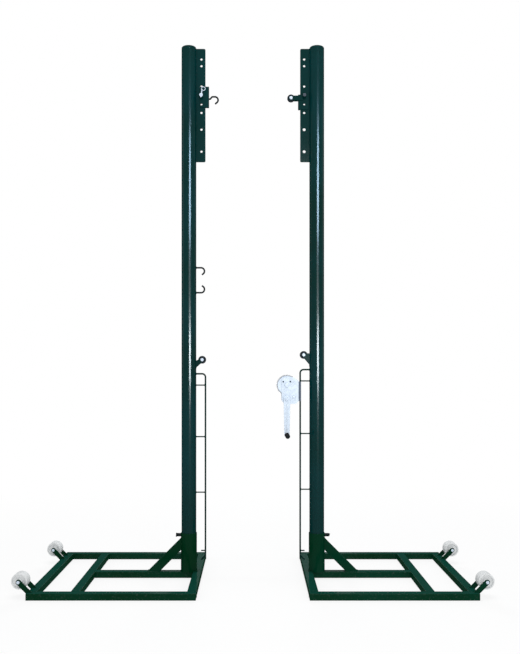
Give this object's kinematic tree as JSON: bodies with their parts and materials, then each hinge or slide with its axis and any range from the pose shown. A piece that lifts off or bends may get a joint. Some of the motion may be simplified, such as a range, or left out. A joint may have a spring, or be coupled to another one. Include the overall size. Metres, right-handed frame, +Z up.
{
  "type": "pair of free-standing net posts",
  "caption": "Pair of free-standing court posts on wheeled flat bases, with height plates, pulleys, a net hook and a hand winch.",
  "frame": {"origin": "on the floor, midway between the two posts and at mid depth of the bases", "axes": "+Z up along the posts, +X from the left post to the right post along the net line, +Y from the front to the back"},
  "size_m": [2.092, 0.78, 2.528],
  "materials": {
    "green_paint": "gloss",
    "bright_zinc": "satin",
    "dark_steel": "satin",
    "white_nylon": "matte",
    "dark_nylon": "satin",
    "black_grip": "satin"
  },
  "bodies": {
    "base": {"lock_bosses": "dark_steel", "wheel_forks": "green_paint", "wheel_bolts": "bright_zinc", "left_front_rail": "green_paint", "left_rear_rail": "green_paint", "left_outer_rail": "green_paint", "left_inner_rail": "green_paint", "left_centre_bar": "green_paint", "left_cross_bar": "green_paint", "left_post_socket": "green_paint", "left_brace": "green_paint", "right_front_rail": "green_paint", "right_rear_rail": "green_paint", "right_outer_rail": "green_paint", "right_inner_rail": "green_paint", "right_centre_bar": "green_paint", "right_cross_bar": "green_paint", "right_post_socket": "green_paint", "right_brace": "green_paint"},
    "left_post": {"left_post_tube": "green_paint", "left_post_cap": "green_paint", "left_height_plate": "green_paint", "left_arm": "green_paint", "left_arm_pulley_bolt": "bright_zinc", "left_lacing_frame": "green_paint", "left_rope_hooks": "dark_steel"},
    "left_lock": {"left_lock_screw": "dark_steel"},
    "left_front_roller": {"left_front_wheel": "white_nylon"},
    "left_rear_roller": {"left_rear_wheel": "white_nylon"},
    "left_sheave": {"left_arm_pulley": "dark_nylon"},
    "left_carriage": {"left_slider": "green_paint", "left_net_hook": "dark_steel"},
    "left_pin": {"left_height_pin": "bright_zinc"},
    "right_post": {"right_post_tube": "green_paint", "right_post_cap": "green_paint", "right_height_plate": "green_paint", "right_arm": "green_paint", "right_arm_pulley_bolt": "bright_zinc", "right_lacing_frame": "green_paint", "right_winch_bracket": "bright_zinc", "right_bracket_bolts": "bright_zinc", "right_winch_frame": "bright_zinc", "right_drum_axle": "bright_zinc", "right_pawl_bolt": "bright_zinc"},
    "right_lock": {"right_lock_screw": "dark_steel"},
    "right_front_roller": {"right_front_wheel": "white_nylon"},
    "right_rear_roller": {"right_rear_wheel": "white_nylon"},
    "right_sheave": {"right_arm_pulley": "dark_nylon"},
    "right_carriage": {"right_slider": "green_paint", "right_slider_pulley_bolt": "bright_zinc"},
    "right_pin": {"right_height_pin": "bright_zinc"},
    "left_ring": {"left_pull_ring": "bright_zinc"},
    "right_top_sheave": {"right_slider_pulley": "dark_nylon"},
    "winch_drum": {"right_winch_drum": "bright_zinc", "right_drum_gear": "bright_zinc"},
    "winch_crank": {"right_pinion_shaft": "bright_zinc", "right_crank_arm": "bright_zinc", "right_crank_nut": "bright_zinc"},
    "winch_grip": {"right_crank_grip": "black_grip"},
    "winch_pawl": {"right_winch_pawl": "bright_zinc"}
  },
  "joints": [
    {"name": "left_post_lift", "type": "slide", "parent": "base", "child": "left_post", "axis": [0, 0, 1], "range_m": [0, 0.2]},
    {"name": "left_lock_turn", "type": "slide", "parent": "base", "child": "left_lock", "axis": [-1, 0, 0], "range_m": [0, 0.006]},
    {"name": "left_front_wheel_spin", "type": "hinge", "parent": "base", "child": "left_front_roller", "pos_m": [-1.011, -0.3325, 0.074], "axis": [0, 1, 0], "continuous": true},
    {"name": "left_rear_wheel_spin", "type": "hinge", "parent": "base", "child": "left_rear_roller", "pos_m": [-1.011, 0.2755, 0.074], "axis": [0, 1, 0], "continuous": true},
    {"name": "left_arm_pulley_spin", "type": "hinge", "parent": "left_post", "child": "left_sheave", "pos_m": [-0.2415, 0, 1.037], "axis": [0, 1, 0], "continuous": true},
    {"name": "left_slider_height", "type": "slide", "parent": "left_post", "child": "left_carriage", "axis": [0, 0, 1], "range_m": [-0.261, 0.179]},
    {"name": "left_pin_push", "type": "slide", "parent": "left_carriage", "child": "left_pin", "axis": [0, 1, 0], "range_m": [0, 0.0125]},
    {"name": "right_post_lift", "type": "slide", "parent": "base", "child": "right_post", "axis": [0, 0, 1], "range_m": [0, 0.2]},
    {"name": "right_lock_turn", "type": "slide", "parent": "base", "child": "right_lock", "axis": [1, 0, 0], "range_m": [0, 0.006]},
    {"name": "right_front_wheel_spin", "type": "hinge", "parent": "base", "child": "right_front_roller", "pos_m": [1.011, -0.3325, 0.074], "axis": [0, 1, 0], "continuous": true},
    {"name": "right_rear_wheel_spin", "type": "hinge", "parent": "base", "child": "right_rear_roller", "pos_m": [1.011, 0.2755, 0.074], "axis": [0, 1, 0], "continuous": true},
    {"name": "right_arm_pulley_spin", "type": "hinge", "parent": "right_post", "child": "right_sheave", "pos_m": [0.2425, 0, 1.06], "axis": [0, 1, 0], "continuous": true},
    {"name": "right_slider_height", "type": "slide", "parent": "right_post", "child": "right_carriage", "axis": [0, 0, 1], "range_m": [-0.261, 0.179]},
    {"name": "right_pin_push", "type": "slide", "parent": "right_carriage", "child": "right_pin", "axis": [0, 1, 0], "range_m": [0, 0.0125]},
    {"name": "left_ring_swing", "type": "hinge", "parent": "left_pin", "child": "left_ring", "pos_m": [-0.2404, -0.0368, 2.3116], "axis": [-0.7071, 0, 0.7071], "range_deg": [-90, 30]},
    {"name": "right_slider_pulley_spin", "type": "hinge", "parent": "right_carriage", "child": "right_top_sheave", "pos_m": [0.182, 0, 2.284], "axis": [0, 1, 0], "continuous": true},
    {"name": "winch_drum_spin", "type": "hinge", "parent": "right_post", "child": "winch_drum", "pos_m": [0.161, 0, 0.917], "axis": [0, 1, 0], "continuous": true},
    {"name": "winch_crank_spin", "type": "hinge", "parent": "right_post", "child": "winch_crank", "pos_m": [0.161, 0, 0.851], "axis": [0, 1, 0], "continuous": true},
    {"name": "winch_grip_spin", "type": "hinge", "parent": "winch_crank", "child": "winch_grip", "pos_m": [0.161, -0.09, 0.682], "axis": [0, 1, 0], "continuous": true},
    {"name": "winch_pawl_tilt", "type": "hinge", "parent": "right_post", "child": "winch_pawl", "pos_m": [0.195, -0.023, 0.861], "axis": [0, 1, 0], "range_deg": [-18, 0]}
  ],
  "couplings": [
    {"joint": "winch_crank_spin", "follows": "winch_drum_spin", "ratio": -2.6667}
  ]
}
